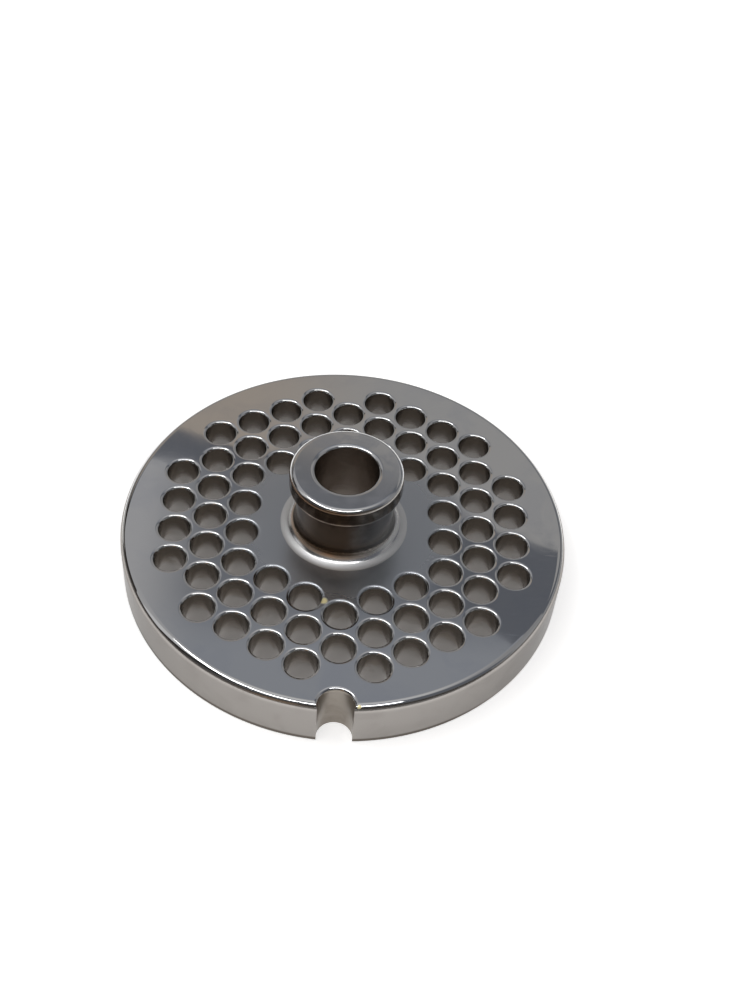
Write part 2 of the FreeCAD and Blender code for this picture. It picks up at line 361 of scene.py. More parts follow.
# %% [markdown]
# ## Smooth and sharp edges
# A round looks round when the light treats its facets as one surface, and a corner looks crisp when
# it doesn't. Blender's own smoothing has a fault here: where a flat face runs into a round, it
# tilts the edge of the flat face a little, and a mirror shows that at once. So each corner of each
# face is told its normal, the direction that it faces. A round takes over the direction of a flat
# face that it meets, and elsewhere the neighbours are averaged, each by its area.

# %% Choose the normals and make the piece
SHARP_ANGLE = math.radians(30)


def corner_normal(face, point):
    """The direction that a face's corner faces, shared with the neighbours that turn only a little."""
    smooth = [near for near in point.link_faces if near.normal.angle(face.normal) < SHARP_ANGLE]
    for near in smooth:
        if abs(near.normal.z) > 1 - NEAR / 10:
            return near.normal.copy()
    total = Vector()
    for near in smooth:
        total += near.normal * near.calc_area()
    return total.normalized()


bm.normal_update()
normals = [corner_normal(face, loop.vert) for face in bm.faces for loop in face.loops]
for face in bm.faces:
    face.smooth = True
bmesh.ops.scale(bm, vec=(MM, MM, MM), verts=bm.verts)
piece = object_of(bm, "perforated_plate")
piece.data.normals_split_custom_set(normals)
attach(piece, "root")
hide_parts("grinder_plate")
print("piece:", len(piece.data.polygons), "faces")

# %% [markdown]
# ## Camera
# The picture is taken from close by, about 21 cm away, looking down at the plate at about 49
# degrees. The lens is a little longer than a normal one. The plate stands a little left of the
# lens's axis, which the sideways shift stands for.

# %% Place the camera
CAMERA_PLACE = Vector((-2.32, -139.09, 167.39)) * MM
CAMERA_TURN = (42.074, -2.422, 1.869)
LENS_MM = 48.17
SIDEWAYS_SHIFT = 0.03

lens = bpy.data.cameras.new("camera")
lens.lens = LENS_MM
lens.shift_x = SIDEWAYS_SHIFT
lens.clip_start = 5 * MM
camera = bpy.data.objects.new("camera", lens)
camera.location = CAMERA_PLACE
camera.rotation_euler = Euler([math.radians(angle) for angle in CAMERA_TURN])
bpy.context.scene.collection.objects.link(camera)
bpy.context.scene.camera = camera
bpy.context.scene.view_settings.view_transform = "Standard"
print("camera", [round(v / MM) for v in CAMERA_PLACE], "mm")


# %% [markdown]
# ## What a mirror sees
# Polished steel has hardly any colour of its own: it looks like whatever stands round it. So the
# studio is planned backwards. The flat top face is a mirror, and the camera looks into it as if
# from a second camera below the face. A line from that mirrored camera through a spot on the face
# meets a card overhead exactly where the card must be to show up at that spot.

# %% Find the spot on a card that shows at a spot on the face
PANEL_HEIGHT = 0.59


def card_spot(x, y):
    """The spot of a level card that the camera sees in the top face at x, y in millimetres."""
    mirrored = Vector((CAMERA_PLACE.x, CAMERA_PLACE.y, 2 * FACE * MM - CAMERA_PLACE.z))
    on_face = Vector((x, y, FACE)) * MM
    ray = on_face - mirrored
    return mirrored + ray * ((PANEL_HEIGHT - mirrored.z) / ray.z)


print("the middle of the face shows", [round(v, 3) for v in card_spot(0, 0)])


# %% [markdown]
# ## Small helpers for nodes
# A material in Blender is a little network of nodes. A few helpers keep the listings short. They
# start an empty tree, add a node and set its values, join an output to an input, calculate, make a
# smooth step between two values, mix two colours and take a place apart. A Mix node has sockets of
# one name for numbers, vectors and colours, so its colour sockets are picked by number. The last
# helper tells rays that are seen, by the camera or in a reflection, from rays that only carry light.

# %% Node helpers
MIX_FIRST, MIX_SECOND, MIX_RESULT = 6, 7, 2


def add(tree, kind, inputs=None, **properties):
    """Adds a node, sets its properties, and then the values of its input sockets."""
    node = tree.nodes.new(kind)
    for name, value in properties.items():
        setattr(node, name, value)
    for socket, value in (inputs or {}).items():
        node.inputs[socket].default_value = value
    return node


def join(tree, source, target):
    """Joins an output socket to an input socket."""
    tree.links.new(source, target)


def fresh_tree(holder):
    """An empty node tree for a material or a world."""
    holder.use_nodes = True
    holder.node_tree.nodes.clear()
    return holder.node_tree


def calculate(tree, operation, first, second):
    """A Math node. Either side is an output socket or a number."""
    node = add(tree, "ShaderNodeMath", operation=operation)
    for socket, value in zip(node.inputs, (first, second)):
        if isinstance(value, (int, float)):
            socket.default_value = value
        else:
            join(tree, value, socket)
    return node.outputs[0]


def ramp(tree, value, start, end, low=0.0, high=1.0):
    """A smooth step: low where value is below start, high where it is above end."""
    limits = {"From Min": start, "From Max": end, "To Min": low, "To Max": high}
    node = add(tree, "ShaderNodeMapRange", limits, interpolation_type="SMOOTHSTEP")
    join(tree, value, node.inputs["Value"])
    return node.outputs[0]


def mix_colours(tree, mask, first, second):
    """The first colour where the mask is 0, the second where it is 1. Either may be an output socket."""
    node = add(tree, "ShaderNodeMix", data_type="RGBA")
    join(tree, mask, node.inputs["Factor"])
    for number, colour in ((MIX_FIRST, first), (MIX_SECOND, second)):
        if isinstance(colour, tuple):
            node.inputs[number].default_value = (*colour, 1)
        else:
            join(tree, colour, node.inputs[number])
    return node.outputs[MIX_RESULT]


def take_apart(tree, place):
    """The outputs X, Y and Z of a place."""
    node = add(tree, "ShaderNodeSeparateXYZ")
    join(tree, place, node.inputs[0])
    return node.outputs


def seen_directly(tree):
    """1 for rays that come straight from the camera or off metal and glass, else 0."""
    path = add(tree, "ShaderNodeLightPath")
    mirror = calculate(tree, "MAXIMUM", path.outputs["Is Glossy Ray"], path.outputs["Is Transmission Ray"])
    return calculate(tree, "MAXIMUM", path.outputs["Is Camera Ray"], mirror)


print("node helpers ready")

# %% [markdown]
# ## World
# The background is white paper. The world is plain white where the camera or a reflection sees it,
# and a dim grey where it only adds soft light.

# %% Make the world
AMBIENT = 0.35

world = bpy.data.worlds.new("white_studio")
bpy.context.scene.world = world
tree = fresh_tree(world)
dim = add(tree, "ShaderNodeBackground", {"Color": (1, 1, 1, 1), "Strength": AMBIENT})
white = add(tree, "ShaderNodeBackground", {"Color": (1, 1, 1, 1), "Strength": 1.0})
choice = add(tree, "ShaderNodeMixShader")
join(tree, seen_directly(tree), choice.inputs[0])
join(tree, dim.outputs[0], choice.inputs[1])
join(tree, white.outputs[0], choice.inputs[2])
out = add(tree, "ShaderNodeOutputWorld")
join(tree, choice.outputs[0], out.inputs["Surface"])
print("world: white to the eye,", AMBIENT, "as light")


# %% [markdown]
# ## Floor
# The floor is a sheet of white paper, a hair below the plate so that the two never fight for the
# same spot. Lamplight alone leaves paper a little grey, so it also glows to the camera and, just as
# strongly, in reflections. The glow grows with distance. Under the holes it is weak, because the
# walls of the holes reflect it, and near the rim it leaves room for the plate's shadow.

# %% Lay the floor
FLOOR_REACH = 4.0
FLOOR_DROP = 0.02 * MM
PAPER = (0.88, 0.865, 0.845, 1)
GLOW_UNDER = 0.27
GLOW_NEAR = 0.58
GLOW_FAR = 1.0
GLOW_FULL_AT = 60 * MM


def sheet(name, corners):
    """A flat four-sided or five-sided sheet through the corners."""
    bm = bmesh.new()
    bm.faces.new([bm.verts.new(corner) for corner in corners])
    obj = object_of(bm, name)
    return obj


def level_corners(x, y, height):
    """The corners of a level rectangle between two X and two Y."""
    return [(x[0], y[0], height), (x[1], y[0], height), (x[1], y[1], height), (x[0], y[1], height)]


floor = sheet("floor", level_corners((-FLOOR_REACH, FLOOR_REACH), (-FLOOR_REACH, FLOOR_REACH), -FLOOR_DROP))
paper = bpy.data.materials.new("white_paper")
tree = fresh_tree(paper)
place = add(tree, "ShaderNodeTexCoord")
distance = add(tree, "ShaderNodeVectorMath", operation="LENGTH")
join(tree, place.outputs["Object"], distance.inputs[0])
under = ramp(tree, distance.outputs["Value"], FIELD_OUTER * MM, NOTCH_FLOOR * MM, GLOW_UNDER, GLOW_NEAR)
beyond = ramp(tree, distance.outputs["Value"], RIM * MM, GLOW_FULL_AT, 0.0, GLOW_FAR - GLOW_NEAR)
strength = calculate(tree, "MULTIPLY", calculate(tree, "ADD", under, beyond), seen_directly(tree))
fibre = add(tree, "ShaderNodeBsdfDiffuse", {"Color": PAPER})
shine = add(tree, "ShaderNodeEmission", {"Color": (1, 1, 1, 1)})
join(tree, strength, shine.inputs["Strength"])
both = add(tree, "ShaderNodeAddShader")
join(tree, fibre.outputs[0], both.inputs[0])
join(tree, shine.outputs[0], both.inputs[1])
out = add(tree, "ShaderNodeOutputMaterial")
join(tree, both.outputs[0], out.inputs["Surface"])
floor.data.materials.append(paper)
print("floor", 2 * FLOOR_REACH, "m across")

# %% [markdown]
# ## Lamps
# Five short strip lights hang in an arc above the near side of the plate. Because the arc is
# narrow, it draws thin bright lines on the rounded edges of the rim, the flange and every hole. It
# reaches further round to the left, so the lines fade out on the right. Seen from the plate, all of
# it stands steeper than the camera does. By way of the face at its foot, the upright neck mirrors
# what lies at the camera's own slope, and a lamp there would put a white band on it.

# %% Hang the strip lights
ARC_RADIUS = 0.29
ARC_HEIGHT = 0.57
ARC_LEFT = -115
ARC_RIGHT = 42
STRIPS = 5
STRIP_BREADTH = 0.1
STRIP_BRIGHTNESS = 6.5

strip_angle = math.radians(ARC_RIGHT - ARC_LEFT) / STRIPS
for number in range(STRIPS):
    around = math.radians(ARC_LEFT) + (number + 0.5) * strip_angle
    lamp = bpy.data.lights.new(f"strip_light_{number + 1}", "AREA")
    lamp.shape = "RECTANGLE"
    lamp.size = 2 * ARC_RADIUS * math.sin(strip_angle / 2)
    lamp.size_y = STRIP_BREADTH
    lamp.energy = STRIP_BRIGHTNESS * math.pi * lamp.size * lamp.size_y
    strip = bpy.data.objects.new(lamp.name, lamp)
    strip.location = (ARC_RADIUS * math.sin(around), -ARC_RADIUS * math.cos(around), ARC_HEIGHT)
    strip.rotation_euler = (0, 0, around)
    bpy.context.scene.collection.objects.link(strip)
print(f"{STRIPS} strip lights of {lamp.energy:.2f} W, each {1000 * lamp.size:.0f} mm long")


# %% [markdown]
# ## Cards
# The rest of the studio is made of cards that only light and reflections see. Grey walls stand at
# the back, on the right, and on the left beyond the dark card. Dark cards behind the camera and on
# the left give the edges their black lines and the neck its dark look. Low down they turn grey, so
# that the face doesn't look black from behind. A small brown card in front puts a warm glint beside
# the white ones. Straight above the plate hangs a card that is light grey on the left and darker on
# the right, with a dimmer strip behind it.

# %% Make a card
def card(name, corners, colour, fades=()):
    """A glowing card. Each fade is an axis, another colour, its end and the start of the card's own."""
    obj = sheet(name, corners)
    obj.visible_camera = False
    obj.visible_shadow = False
    stuff = bpy.data.materials.new(name)
    tree = fresh_tree(stuff)
    shine = add(tree, "ShaderNodeEmission", {"Color": (*colour, 1)})
    if fades:
        place = add(tree, "ShaderNodeTexCoord")
        parts = take_apart(tree, place.outputs["Object"])
        shade = colour
        for axis, other, start, end in fades:
            shade = mix_colours(tree, ramp(tree, parts[axis], start, end), other, shade)
        join(tree, shade, shine.inputs["Color"])
    out = add(tree, "ShaderNodeOutputMaterial")
    join(tree, shine.outputs[0], out.inputs["Surface"])
    obj.data.materials.append(stuff)
    return obj


def wall_card(name, start, end, low, high, colour, fades=()):
    """An upright card between two heights, along the line from start to end."""
    return card(name, [(*start, low), (*end, low), (*end, high), (*start, high)], colour, fades)


print("card helpers ready")

# %% Put up the room
CEILING = 0.6
LEFT, RIGHT = -1.2, 1.2
FRONT, BACK = -0.45, 1.4
DARK_TOP = 0.4
DARK_BACK = 0.7
DARK_SIDE = ("X", (0.035, 0.032, 0.03), -0.5, -0.3)
GREY_FOOT = ("Z", (0.3, 0.295, 0.29), 0.18, 0.27)
PALE_WALL = (0.45, 0.44, 0.43)
BROWN = (0.42, 0.3, 0.2)
BROWN_LEFT, BROWN_RIGHT = -0.3, -0.12
BROWN_FOOT, BROWN_TOP = 0.06, 0.3
BROWN_LINE = FRONT + 0.01
card("ceiling", level_corners((LEFT, RIGHT), (FRONT, BACK), CEILING), (0.14, 0.148, 0.17), [DARK_SIDE])
wall_card("dark_left", (LEFT, FRONT), (LEFT, DARK_BACK), 0, CEILING, (0.06, 0.053, 0.048), [GREY_FOOT])
wall_card("left_wall", (LEFT, DARK_BACK), (LEFT, BACK), 0, CEILING, PALE_WALL)
wall_card("right_wall", (RIGHT, FRONT), (RIGHT, BACK), 0, CEILING, (0.33, 0.33, 0.335))
wall_card("far_wall", (LEFT, BACK), (RIGHT, BACK), 0, CEILING, PALE_WALL)
wall_card("dark_front", (LEFT, FRONT), (RIGHT, FRONT), 0, DARK_TOP, (0.05, 0.043, 0.038), [GREY_FOOT])
wall_card("front_top", (LEFT, FRONT), (RIGHT, FRONT), DARK_TOP, CEILING, (0.12, 0.118, 0.12))
wall_card("brown_card", (BROWN_LEFT, BROWN_LINE), (BROWN_RIGHT, BROWN_LINE), BROWN_FOOT, BROWN_TOP, BROWN)
print("room:", RIGHT - LEFT, "by", BACK - FRONT, "m")

# %% Hang the cards overhead
OVERHEAD = (-0.1, 0.16)
HALO_END = 0.27
OVERHEAD_FADE = (0.05, 0.4)
card("overhead", level_corners((LEFT, RIGHT), OVERHEAD, PANEL_HEIGHT), (0.32, 0.32, 0.33),
     [("X", (0.68, 0.68, 0.69), *OVERHEAD_FADE)])
card("overhead_halo", level_corners((LEFT, RIGHT), (OVERHEAD[1], HALO_END), PANEL_HEIGHT), (0.3, 0.3, 0.31),
     [("X", (0.46, 0.46, 0.47), *OVERHEAD_FADE)])
print("overhead from y =", OVERHEAD[0], "to", HALO_END, "m")

# %% [markdown]
# ## What the face shows
# The flat face mirrors what hangs further back: a warm grey panel whose straight edge crosses the
# face from the left to the right, and a bluish one with a bend, which is brighter on the left and
# towards the front. The dim ceiling shows between them. Their edges are given as spots on the face,
# or beside it where an edge runs on past the rim, and card_spot finds the places overhead.

# %% Hang the panels that the face shows
FAR_EDGE = ((-160, 67.6), (120, -36))
FAR_DEPTH = 0.4
WARM_LEFT = (-20, 12)
NEAR_EDGE = ((-160, 27), (-16, 10), (62, -50.5))
BRIGHT_FRONT = (-27, -13)
BRIGHT_LEFT = (-33, -19)

far_left, far_right = [card_spot(x, y) for x, y in FAR_EDGE]
across = (far_right - far_left).normalized()
onward = FAR_DEPTH * Vector((-across.y, across.x, 0))
warmer = ("X", (0.425, 0.375, 0.33), *[card_spot(x, 0).x for x in WARM_LEFT])
far_corners = [far_left, far_right, far_right + onward, far_left + onward]
card("far_panel", far_corners, (0.39, 0.385, 0.385), [warmer])

near_left, near_bend, near_right = [card_spot(x, y) for x, y in NEAR_EDGE]
near_corners = [(near_left.x, HALO_END, PANEL_HEIGHT), (near_right.x, HALO_END, PANEL_HEIGHT),
                near_right, near_bend, near_left]
brighter_front = ("Y", (0.31, 0.325, 0.36), *[card_spot(0, y).y for y in BRIGHT_FRONT])
brighter_left = ("X", (0.44, 0.44, 0.455), *[card_spot(x, 0).x for x in BRIGHT_LEFT])
card("near_panel", near_corners, (0.2, 0.21, 0.235), [brighter_front, brighter_left])


# %% [markdown]
# ## Patterns for the finishes
# Each pattern is a node group, built once, which the materials then use with their own values. Most
# finishes have smudges and turning lines, and only the polished face has scratches and specks. They
# all read the place on the piece in millimetres. Smudges are a soft noise, cut off where it is
# weak. Scratches are a noise stretched so far that only hairs are left of it, laid three ways.
# Turning lines are made from a noise that only knows the distance from the axis and the height, so
# it gives rings on any turned surface. Across says how much the distance counts: at 0 the lines
# are level. Specks are the middles of cells, of which only a share is kept.

# %% A group with named inputs and outputs
def new_group(name, inputs, outputs):
    """A node group and the nodes at its two ends. Inputs are names with values, outputs are names."""
    tree = bpy.data.node_groups.new(name, "ShaderNodeTree")
    tree.interface.new_socket("Place", in_out="INPUT", socket_type="NodeSocketVector")
    for label, value in inputs.items():
        socket = tree.interface.new_socket(label, in_out="INPUT", socket_type="NodeSocketFloat")
        socket.default_value = value
    for label in outputs:
        tree.interface.new_socket(label, in_out="OUTPUT", socket_type="NodeSocketFloat")
    return tree, tree.nodes.new("NodeGroupInput").outputs, tree.nodes.new("NodeGroupOutput").inputs


print("group helper ready")

# %% Smudges
SMUDGE_EDGE = (0.42, 0.68)
smudges, given, result = new_group("smudges", {"Size": 6.0, "Amount": 0.5}, ["Mask"])
noise = add(smudges, "ShaderNodeTexNoise", {"Detail": 4.0, "Roughness": 0.6, "Distortion": 0.6})
join(smudges, given["Place"], noise.inputs["Vector"])
join(smudges, calculate(smudges, "DIVIDE", 1.0, given["Size"]), noise.inputs["Scale"])
patches = ramp(smudges, noise.outputs["Fac"], *SMUDGE_EDGE)
join(smudges, calculate(smudges, "MULTIPLY", patches, given["Amount"]), result["Mask"])
print("smudges:", len(smudges.nodes), "nodes")

# %% Fine scratches
SCRATCH_TURNS = (12, 71, 128)
SCRATCH_STRETCH = (0.18, 4.0, 1.0)
SCRATCH_EDGE = (0.71, 0.76)
scratches, given, result = new_group("fine_scratches", {"Amount": 1.0}, ["Mask"])
total = None
for turned in SCRATCH_TURNS:
    layout = {"Rotation": (0, 0, math.radians(turned)), "Scale": SCRATCH_STRETCH}
    laid = add(scratches, "ShaderNodeMapping", layout)
    join(scratches, given["Place"], laid.inputs["Vector"])
    hairs = add(scratches, "ShaderNodeTexNoise", {"Scale": 1.0, "Detail": 1.0, "Distortion": 0.15})
    join(scratches, laid.outputs[0], hairs.inputs["Vector"])
    lines = ramp(scratches, hairs.outputs["Fac"], *SCRATCH_EDGE)
    total = calculate(scratches, "MAXIMUM", total, lines) if total else lines
join(scratches, calculate(scratches, "MULTIPLY", total, given["Amount"]), result["Mask"])
print("fine_scratches:", len(scratches.nodes), "nodes")

# %% Turning lines
turning, given, result = new_group("turning_lines", {"Spacing": 0.3, "Across": 1.0}, ["Height"])
parts = take_apart(turning, given["Place"])
flat = add(turning, "ShaderNodeCombineXYZ")
join(turning, parts["X"], flat.inputs["X"])
join(turning, parts["Y"], flat.inputs["Y"])
from_axis = add(turning, "ShaderNodeVectorMath", operation="LENGTH")
join(turning, flat.outputs[0], from_axis.inputs[0])
rings = add(turning, "ShaderNodeCombineXYZ")
join(turning, calculate(turning, "MULTIPLY", from_axis.outputs["Value"], given["Across"]), rings.inputs["X"])
join(turning, parts["Z"], rings.inputs["Z"])
cuts = add(turning, "ShaderNodeTexNoise", {"Detail": 3.0, "Roughness": 0.55})
join(turning, rings.outputs[0], cuts.inputs["Vector"])
join(turning, calculate(turning, "DIVIDE", 1.0, given["Spacing"]), cuts.inputs["Scale"])
join(turning, cuts.outputs["Fac"], result["Height"])
print("turning_lines:", len(turning.nodes), "nodes")

# %% Specks of dust
specks, given, result = new_group("specks", {"Spacing": 4.0, "Size": 0.12, "Share": 0.3}, ["Mask"])
cells = add(specks, "ShaderNodeTexVoronoi")
join(specks, given["Place"], cells.inputs["Vector"])
join(specks, calculate(specks, "DIVIDE", 1.0, given["Spacing"]), cells.inputs["Scale"])
lots = add(specks, "ShaderNodeSeparateColor")
join(specks, cells.outputs["Color"], lots.inputs[0])
chosen = calculate(specks, "LESS_THAN", lots.outputs["Red"], given["Share"])
real_distance = calculate(specks, "MULTIPLY", cells.outputs["Distance"], given["Spacing"])
reach_of_each = calculate(specks, "MULTIPLY", lots.outputs["Green"], given["Size"])
inside = calculate(specks, "LESS_THAN", real_distance, reach_of_each)
join(specks, calculate(specks, "MULTIPLY", chosen, inside), result["Mask"])
print("specks:", len(specks.nodes), "nodes")


# %% [markdown]
# ## Steel
# All the zones are the same steel: a metal shader, which has hardly any colour but tints what it
# reflects. What differs is how smooth the tool left it. A polished face has a roughness near zero,
# with haze and hairs that make it look handled. A turned or drilled wall is rougher and has rings.
# The helpers below start a finish, place a pattern in it, lead a pattern to the bump or the colour,
# and measure how far a place is from the axis or from a spot. A finish whose roughness changes over
# the surface sets it with its own nodes.

# %% A start for every finish
def steel(name, roughness=None):
    """A metal for the next slot of the piece: its tree, its shader, and the place in millimetres."""
    stuff = bpy.data.materials.new(name)
    tree = fresh_tree(stuff)
    metal = add(tree, "ShaderNodeBsdfPrincipled", {"Metallic": 1.0})
    if roughness:
        metal.inputs["Roughness"].default_value = roughness
    out = add(tree, "ShaderNodeOutputMaterial")
    join(tree, metal.outputs[0], out.inputs["Surface"])
    coordinates = add(tree, "ShaderNodeTexCoord")
    place = add(tree, "ShaderNodeVectorMath", {"Scale": 1 / MM}, operation="SCALE")
    join(tree, coordinates.outputs["Object"], place.inputs[0])
    piece.data.materials.append(stuff)
    return tree, metal, place.outputs[0]


def use(tree, group, place, values):
    """Puts a shared pattern into a material and returns its output."""
    node = add(tree, "ShaderNodeGroup", values, node_tree=group)
    join(tree, place, node.inputs["Place"])
    return node.outputs[0]


def bump(tree, metal, height, depth_um):
    """Feeds a height, 0 to 1 for the depth in micrometres, to the shader's normal."""
    node = add(tree, "ShaderNodeBump", {"Strength": 1.0, "Distance": depth_um * MM * MM})
    join(tree, height, node.inputs["Height"])
    join(tree, node.outputs[0], metal.inputs["Normal"])


def stain_and_painted_light(tree, metal, mask, clean, dirt_and_painted_light):
    """Lets the shader's colour run from clean to a second colour where the mask is 1: dirt in some finishes,
    painted light or shade in others.
    """
    join(tree, mix_colours(tree, mask, clean, dirt_and_painted_light), metal.inputs["Base Color"])


def axis_distance(tree, place):
    """How far a place lies from the bore's axis, in millimetres."""
    level = add(tree, "ShaderNodeVectorMath", {1: (1, 1, 0)}, operation="MULTIPLY")
    join(tree, place, level.inputs[0])
    length = add(tree, "ShaderNodeVectorMath", operation="LENGTH")
    join(tree, level.outputs[0], length.inputs[0])
    return length.outputs["Value"]


def near_spot(tree, place, spot, size):
    """A mask that is 1 at a spot in millimetres and fades out at its size."""
    apart = add(tree, "ShaderNodeVectorMath", {1: spot}, operation="DISTANCE")
    join(tree, place, apart.inputs[0])
    return ramp(tree, apart.outputs["Value"], size / 2, size, 1.0, 0.0)


print("helpers for steel ready")

# %% [markdown]
# ### Polished face and crown
# The face was polished before the plate was used. Since then hands have left haze on it, and it has fine
# hairs and a few specks. Close to the hub the buffing wheel couldn't reach, so the face is rougher there and
# shows the hub only as a soft shape, and its colour is painted darker and bluer there as painted shade round
# the hub. Two tiny spots are painted pale yellow as painted glints: at the edge of a hole in front of the
# hub, and at a corner of the notch.
# A polished face is never quite flat, which a very slow wave in the bump stands for. The crown of
# the hub was polished too, but less finely, and still has faint rings.

# %% Polished face
BRIGHT_STEEL = (0.62, 0.62, 0.615)
HAZY_STEEL = (0.58, 0.585, 0.595)
HAZE_ROUGHNESS = (0.03, 0.06)
# Within this distance of the axis the face is rougher, and its colour is painted darker and bluer as painted
# shade round the hub.
DULL_AND_SHADED_TO = (13.0, 21.0)
HUB_SHADE_STEEL = (0.45, 0.47, 0.495)
DULL_ROUGHNESS = 0.27
# The pale yellow colour below is a painted glint on two tiny spots, one at a hole's edge and one at the
# notch.
GLINT_BRASS_COLOUR = (0.95, 0.85, 0.5)
GLINT_AT_HOLE = (-2.5, -15.9, FACE)
GLINT_AT_NOTCH = (3.3, -34.3, FACE - 0.2)
LARGE_GLINT = 0.75
SMALL_GLINT = 0.4
SPECK_ROUGHNESS = 0.4
tree, metal, place = steel("polished_face")
haze = use(tree, smudges, place, {"Size": 9.0, "Amount": 1.0})
hairs = use(tree, scratches, place, {"Amount": 0.04})
dust = use(tree, specks, place, {"Spacing": 5.0, "Size": 0.16, "Share": 0.3})
near_hub_dull_and_shaded = ramp(tree, axis_distance(tree, place), *DULL_AND_SHADED_TO, 1.0, 0.0)
# Masks for the two painted glints.
glint_at_hole = near_spot(tree, place, GLINT_AT_HOLE, LARGE_GLINT)
glint_at_notch = near_spot(tree, place, GLINT_AT_NOTCH, SMALL_GLINT)
painted_glint = calculate(tree, "MAXIMUM", glint_at_hole, glint_at_notch)
handled = mix_colours(tree, haze, BRIGHT_STEEL, HAZY_STEEL)
# Painted shade: the colour runs to the darker, bluer steel near the hub.
hub_shaded_colour = mix_colours(tree, near_hub_dull_and_shaded, handled, HUB_SHADE_STEEL)
stain_and_painted_light(tree, metal, painted_glint, hub_shaded_colour, GLINT_BRASS_COLOUR)
hazy = ramp(tree, haze, 0.0, 1.0, *HAZE_ROUGHNESS)
dull = calculate(tree, "MULTIPLY", near_hub_dull_and_shaded, DULL_ROUGHNESS)
dust_and_glint_spots = calculate(tree, "MULTIPLY", calculate(tree, "MAXIMUM", dust, painted_glint), SPECK_ROUGHNESS)
marks = calculate(tree, "MAXIMUM", hairs, dust_and_glint_spots)
join(tree, calculate(tree, "ADD", calculate(tree, "ADD", hazy, dull), marks), metal.inputs["Roughness"])
waves = add(tree, "ShaderNodeTexNoise", {"Scale": 0.12, "Detail": 1.0})
join(tree, place, waves.inputs["Vector"])
bump(tree, metal, waves.outputs["Fac"], 8.0)
print("polished_face: dull up to", DULL_AND_SHADED_TO[1], "mm from the axis,", len(tree.nodes), "nodes")

# %% Polished crown
CROWN_HAZE = (0.55, 0.56, 0.58)
CROWN_ROUGHNESS = (0.11, 0.18)
tree, metal, place = steel("polished_crown")
haze = use(tree, smudges, place, {"Size": 4.0, "Amount": 1.0})
stain_and_painted_light(tree, metal, haze, BRIGHT_STEEL, CROWN_HAZE)
join(tree, ramp(tree, haze, 0.0, 1.0, *CROWN_ROUGHNESS), metal.inputs["Roughness"])
bump(tree, metal, use(tree, turning, place, {"Spacing": 0.8}), 0.6)
print("polished_crown: roughness from", CROWN_ROUGHNESS[0], "to", CROWN_ROUGHNESS[1])

# %% [markdown]
# ### Rim and notch
# The rim's wall was only turned, so it is rougher than the face, a little warmer in tone, and has fine rings.
# Its lower edge is painted dark as painted contact shade where it meets the floor, and this fades out on the
# right. Seen at a flat angle even a rough metal turns bright, and the specular tint holds that back. The
# notch was milled, and its faint lines are level.

# %% Turned rim
RIM_STEEL = (0.32, 0.302, 0.286)
# The darker colour is painted contact shade at the lower edge and wear in the smudges.
RIM_DIRT_AND_SHADE = (0.13, 0.115, 0.1)
SHADED_EDGE_HEIGHT = (0.65, 1.05)
EDGE_SHADE_GONE_FROM = (15.0, 28.0)
GRAZING_TINT = (0.6, 0.6, 0.6, 1)
tree, metal, place = steel("turned_rim", 0.24)
metal.inputs["Specular Tint"].default_value = GRAZING_TINT
parts = take_apart(tree, place)
# Painted contact shade along the lower edge, fading out towards the right; the smudges are real wear.
low_down = ramp(tree, parts["Z"], *SHADED_EDGE_HEIGHT, 1.0, 0.0)
edge = calculate(tree, "MULTIPLY", low_down, ramp(tree, parts["X"], *EDGE_SHADE_GONE_FROM, 1.0, 0.0))
worn = use(tree, smudges, place, {"Size": 7.0, "Amount": 0.15})
stain_and_painted_light(tree, metal, calculate(tree, "MAXIMUM", edge, worn), RIM_STEEL, RIM_DIRT_AND_SHADE)
bump(tree, metal, use(tree, turning, place, {"Spacing": 0.25}), 1.5)
print("turned_rim: dark edge up to", SHADED_EDGE_HEIGHT[1], "mm, wiped clean from x =", EDGE_SHADE_GONE_FROM[0], "mm")

# %% Milled notch
NOTCH_STEEL = (0.26, 0.235, 0.205)
NOTCH_DIRT = (0.21, 0.182, 0.155)
tree, metal, place = steel("milled_notch", 0.34)
stain_and_painted_light(tree, metal, use(tree, smudges, place, {"Size": 3.0, "Amount": 0.8}), NOTCH_STEEL, NOTCH_DIRT)
bump(tree, metal, use(tree, turning, place, {"Spacing": 0.2, "Across": 0.0}), 2.0)
print("milled_notch:", len(tree.nodes), "nodes")

# %% [markdown]
# ### Holes and bore
# A drill leaves faint rings on the wall of a hole. The upper part of the wall is painted dark and brown as
# painted shade, and further down the steel is lighter. The smudges make the border between the two uneven.
# The bore was reamed and has a plain brown tone.

# %% Drilled holes
HOLE_STEEL = (0.44, 0.42, 0.405)
# The upper wall is painted darker and browner as painted shade, over this span of heights.
HOLE_PAINTED_SHADE = (0.25, 0.217, 0.185)
HOLE_SHADE_SPAN = (3.6, 7.2)
UNEVEN_BY = 1.2
tree, metal, place = steel("drilled_holes", 0.2)
uneven = calculate(tree, "MULTIPLY", use(tree, smudges, place, {"Size": 4.0, "Amount": 1.0}), UNEVEN_BY)
height = calculate(tree, "ADD", take_apart(tree, place)["Z"], uneven)
stain_and_painted_light(tree, metal, ramp(tree, height, *HOLE_SHADE_SPAN), HOLE_STEEL, HOLE_PAINTED_SHADE)
bump(tree, metal, use(tree, turning, place, {"Spacing": 0.5, "Across": 0.05}), 4.0)
print("drilled_holes: film from", HOLE_SHADE_SPAN[0], "to", HOLE_SHADE_SPAN[1], "mm up")

# %% Reamed bore
BORE_STEEL = (0.37, 0.328, 0.295)
BORE_DIRT = (0.3, 0.255, 0.222)
tree, metal, place = steel("reamed_bore", 0.25)
stain_and_painted_light(tree, metal, use(tree, smudges, place, {"Size": 4.0, "Amount": 0.8}), BORE_STEEL, BORE_DIRT)
bump(tree, metal, use(tree, turning, place, {"Spacing": 0.4, "Across": 0.0}), 3.0)
print("reamed_bore:", len(tree.nodes), "nodes")
